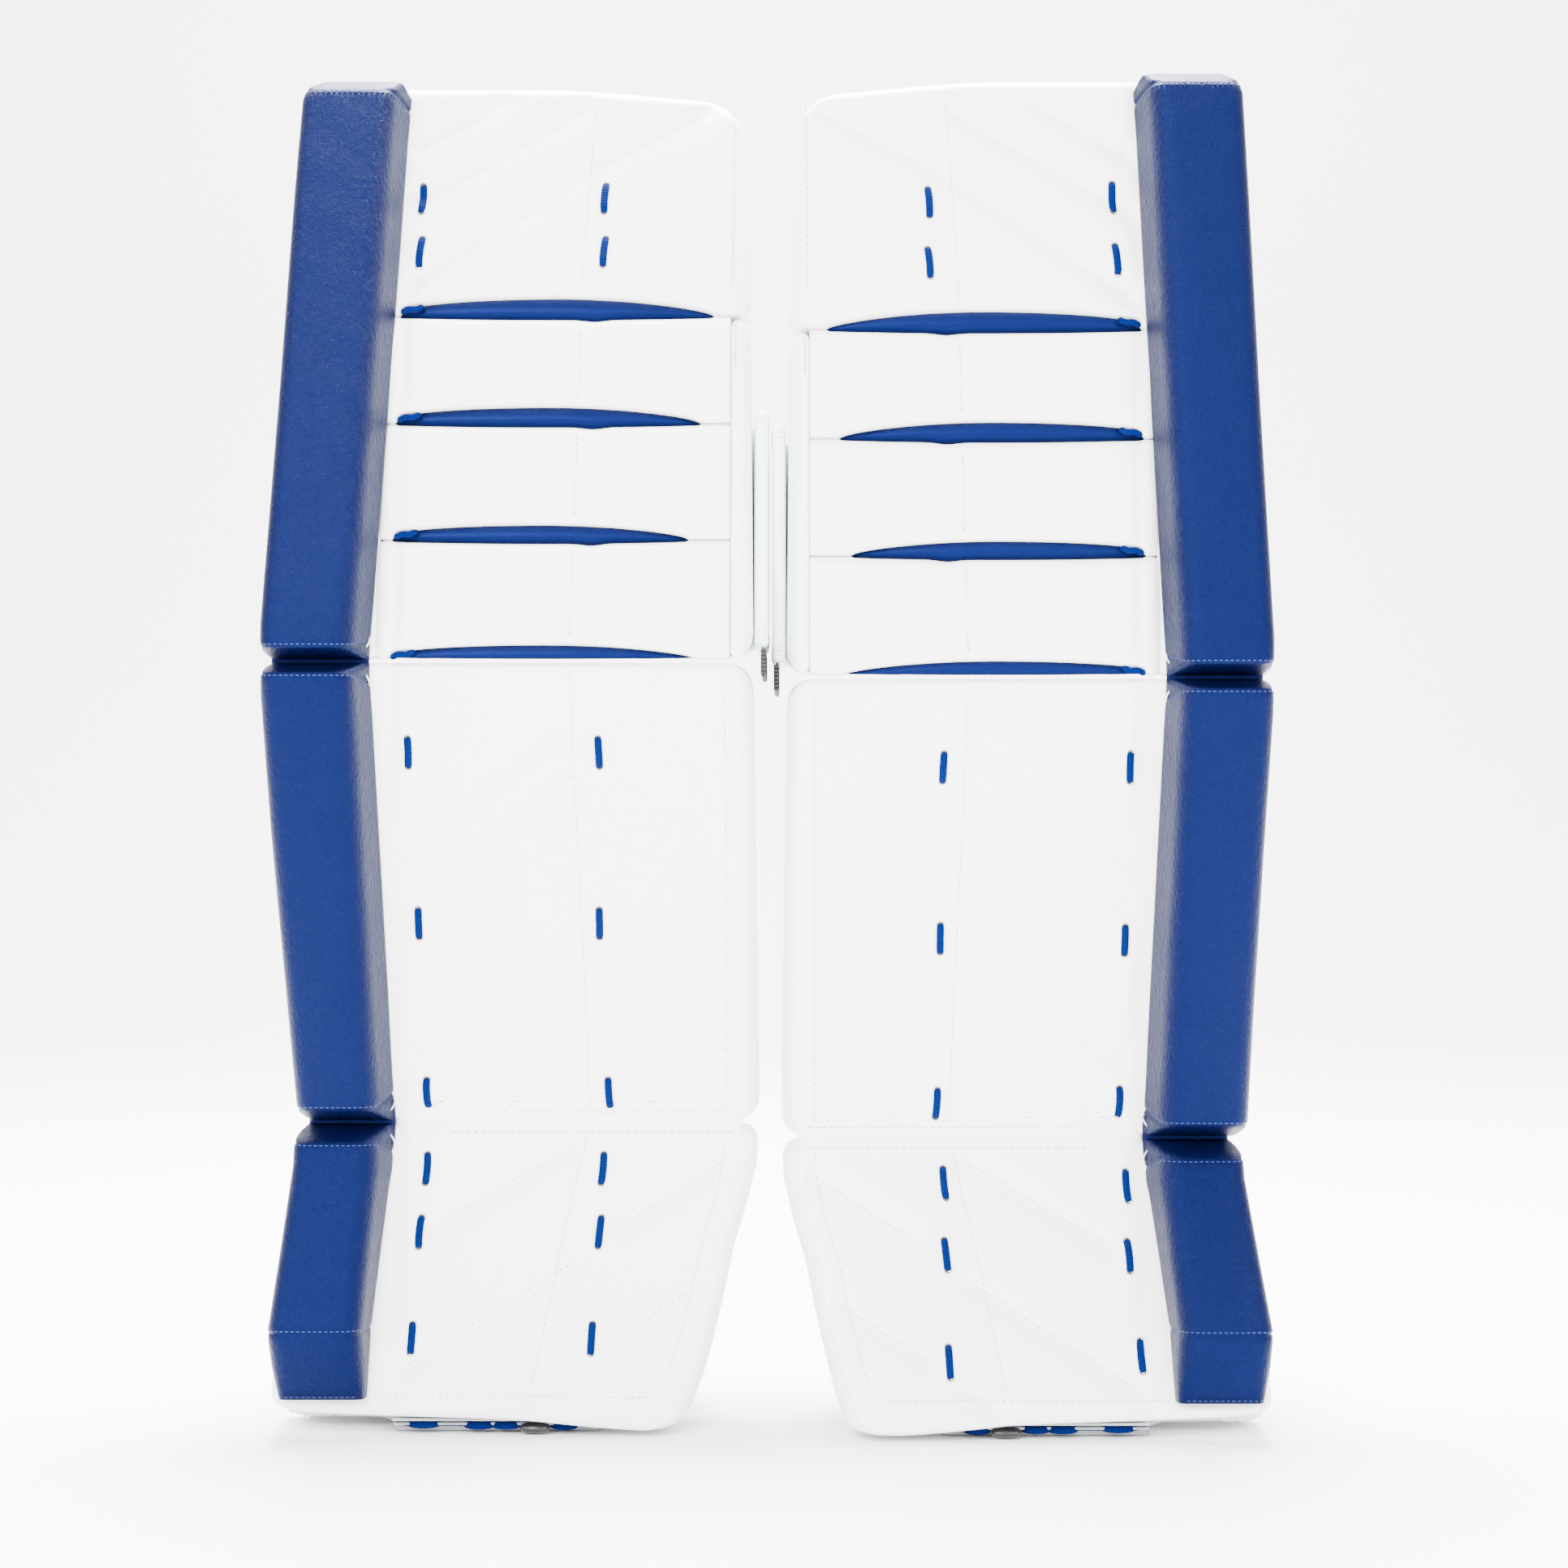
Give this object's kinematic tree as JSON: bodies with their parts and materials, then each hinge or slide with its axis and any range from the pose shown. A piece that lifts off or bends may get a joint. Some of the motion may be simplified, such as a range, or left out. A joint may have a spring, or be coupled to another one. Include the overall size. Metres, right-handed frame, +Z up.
{
  "type": "goalie leg pads",
  "caption": "Pair of hinged goalie leg pads with outer rolls, knee rolls, laced faces, boot channels, and leg and knee wraps.",
  "frame": {"origin": "on the floor, under the centre of the standing pair's bounding box", "axes": "+X from the wearer's right pad to the left pad, -Y out of the front faces, +Z up"},
  "size_m": [0.554, 0.234, 0.74],
  "materials": {
    "white_leather": "satin",
    "blue_leather": "satin",
    "blue_lace": "matte",
    "foam": "matte",
    "white_board": "matte",
    "grey_plate": "matte",
    "black_plastic": "gloss",
    "black_webbing": "matte",
    "black_elastic": "matte",
    "dark_lining": "matte"
  },
  "bodies": {
    "right_boot": {"right_boot_cover": "white_leather", "right_boot_core": "foam", "right_outer_roll_lower": "blue_leather", "right_boot_laces": "blue_lace", "right_toe_bridge": "grey_plate", "right_boot_channel": "dark_lining", "right_buckle_socket": "black_plastic"},
    "right_toggle": {"right_toe_toggle": "black_plastic"},
    "right_boot_strap": {"right_boot_strap": "black_webbing", "right_buckle_plug": "black_plastic"},
    "right_shin": {"right_shin_cover": "white_leather", "right_shin_core": "foam", "right_shin_stiffener": "white_board", "right_outer_roll_middle": "blue_leather", "right_shin_laces": "blue_lace", "right_shin_cushion": "dark_lining"},
    "right_calf_wing_outer": {"right_calf_wing_outer": "white_leather"},
    "right_calf_wing_inner": {"right_calf_wing_inner": "white_leather"},
    "right_calf_strap": {"right_calf_strap": "black_webbing"},
    "right_thigh": {"right_thigh_cover": "white_leather", "right_thigh_core": "foam", "right_knee_rolls": "white_leather", "right_knee_base": "blue_leather", "right_outer_roll_upper": "blue_leather", "right_thigh_laces": "blue_lace", "right_knee_block": "white_leather", "right_knee_cushion": "dark_lining", "right_knee_strap_end": "black_elastic"},
    "right_knee_wing": {"right_knee_wing": "white_leather"},
    "right_knee_strap": {"right_knee_strap": "black_elastic"},
    "left_boot": {"left_boot_cover": "white_leather", "left_boot_core": "foam", "left_outer_roll_lower": "blue_leather", "left_boot_laces": "blue_lace", "left_toe_bridge": "grey_plate", "left_boot_channel": "dark_lining", "left_buckle_socket": "black_plastic"},
    "left_toggle": {"left_toe_toggle": "black_plastic"},
    "left_boot_strap": {"left_boot_strap": "black_webbing", "left_buckle_plug": "black_plastic"},
    "left_shin": {"left_shin_cover": "white_leather", "left_shin_core": "foam", "left_shin_stiffener": "white_board", "left_outer_roll_middle": "blue_leather", "left_shin_laces": "blue_lace", "left_shin_cushion": "dark_lining"},
    "left_calf_wing_outer": {"left_calf_wing_outer": "white_leather"},
    "left_calf_wing_inner": {"left_calf_wing_inner": "white_leather"},
    "left_calf_strap": {"left_calf_strap": "black_webbing"},
    "left_thigh": {"left_thigh_cover": "white_leather", "left_thigh_core": "foam", "left_knee_rolls": "white_leather", "left_knee_base": "blue_leather", "left_outer_roll_upper": "blue_leather", "left_thigh_laces": "blue_lace", "left_knee_block": "white_leather", "left_knee_cushion": "dark_lining", "left_knee_strap_end": "black_elastic"},
    "left_knee_wing": {"left_knee_wing": "white_leather"},
    "left_knee_strap": {"left_knee_strap": "black_elastic"}
  },
  "joints": [
    {"name": "right_boot_flex", "type": "hinge", "parent": "right_boot", "child": "right_shin", "pos_m": [-0.15, -0.049, 0.166], "axis": [1, 0, 0], "range_deg": [-10, 20], "stiffness_Nm_per_rad": 60},
    {"name": "right_knee_flex", "type": "hinge", "parent": "right_shin", "child": "right_thigh", "pos_m": [-0.15, -0.093, 0.418], "axis": [1, 0, 0], "range_deg": [-8, 15], "stiffness_Nm_per_rad": 60},
    {"name": "right_calf_wing_outer_hinge", "type": "hinge", "parent": "right_shin", "child": "right_calf_wing_outer", "pos_m": [-0.222, -0.0054, 0.296], "axis": [0, -0.172, 0.9851], "range_deg": [0, 75]},
    {"name": "right_calf_wing_inner_hinge", "type": "hinge", "parent": "right_shin", "child": "right_calf_wing_inner", "pos_m": [-0.048, -0.0054, 0.296], "axis": [0, 0.172, -0.9851], "range_deg": [0, 25]},
    {"name": "right_calf_strap_hinge", "type": "hinge", "parent": "right_calf_wing_outer", "child": "right_calf_strap", "pos_m": [-0.222, 0.0896, 0.296], "axis": [0, -0.172, 0.9851], "range_deg": [0, 110]},
    {"name": "right_knee_wing_hinge", "type": "hinge", "parent": "right_thigh", "child": "right_knee_wing", "pos_m": [-0.222, -0.00707, 0.497], "axis": [0, 0.2411, 0.9705], "range_deg": [0, 75]},
    {"name": "right_knee_strap_hinge", "type": "hinge", "parent": "right_thigh", "child": "right_knee_strap", "pos_m": [-0.006, 0.07008, 0.463], "axis": [0, -0.2411, -0.9705], "range_deg": [0, 80]},
    {"name": "right_boot_strap_hinge", "type": "hinge", "parent": "right_boot", "child": "right_boot_strap", "pos_m": [-0.044, 0.04096, 0.082], "axis": [0, 0, -1], "range_deg": [0, 80]},
    {"name": "right_toggle_slide", "type": "slide", "parent": "right_boot", "child": "right_toggle", "axis": [-1, 0, 0], "range_m": [-0.012, 0.02]},
    {"name": "left_boot_flex", "type": "hinge", "parent": "left_boot", "child": "left_shin", "pos_m": [0.15, -0.036, 0.156], "axis": [1, 0, 0], "range_deg": [-10, 20], "stiffness_Nm_per_rad": 60},
    {"name": "left_knee_flex", "type": "hinge", "parent": "left_shin", "child": "left_thigh", "pos_m": [0.15, -0.074, 0.41], "axis": [1, 0, 0], "range_deg": [-8, 15], "stiffness_Nm_per_rad": 60},
    {"name": "left_calf_wing_outer_hinge", "type": "hinge", "parent": "left_shin", "child": "left_calf_wing_outer", "pos_m": [0.222, 0.01055, 0.288], "axis": [0, 0.148, -0.989], "range_deg": [0, 75]},
    {"name": "left_calf_wing_inner_hinge", "type": "hinge", "parent": "left_shin", "child": "left_calf_wing_inner", "pos_m": [0.048, 0.01055, 0.288], "axis": [0, -0.148, 0.989], "range_deg": [0, 25]},
    {"name": "left_calf_strap_hinge", "type": "hinge", "parent": "left_calf_wing_outer", "child": "left_calf_strap", "pos_m": [0.222, 0.10555, 0.288], "axis": [0, 0.148, -0.989], "range_deg": [0, 110]},
    {"name": "left_knee_wing_hinge", "type": "hinge", "parent": "left_thigh", "child": "left_knee_wing", "pos_m": [0.222, 0.00188, 0.489], "axis": [0, -0.1203, -0.9927], "range_deg": [0, 75]},
    {"name": "left_knee_strap_hinge", "type": "hinge", "parent": "left_thigh", "child": "left_knee_strap", "pos_m": [0.006, 0.08335, 0.455], "axis": [0, 0.1203, 0.9927], "range_deg": [0, 80]},
    {"name": "left_boot_strap_hinge", "type": "hinge", "parent": "left_boot", "child": "left_boot_strap", "pos_m": [0.044, 0.03921, 0.082], "axis": [0, 0, 1], "range_deg": [0, 80]},
    {"name": "left_toggle_slide", "type": "slide", "parent": "left_boot", "child": "left_toggle", "axis": [1, 0, 0], "range_m": [-0.012, 0.02]},
    {"name": "pair_spacing", "type": "slide", "parent": "right_boot", "child": "left_boot", "axis": [1, 0, 0], "range_m": [0, 0.3]}
  ]
}
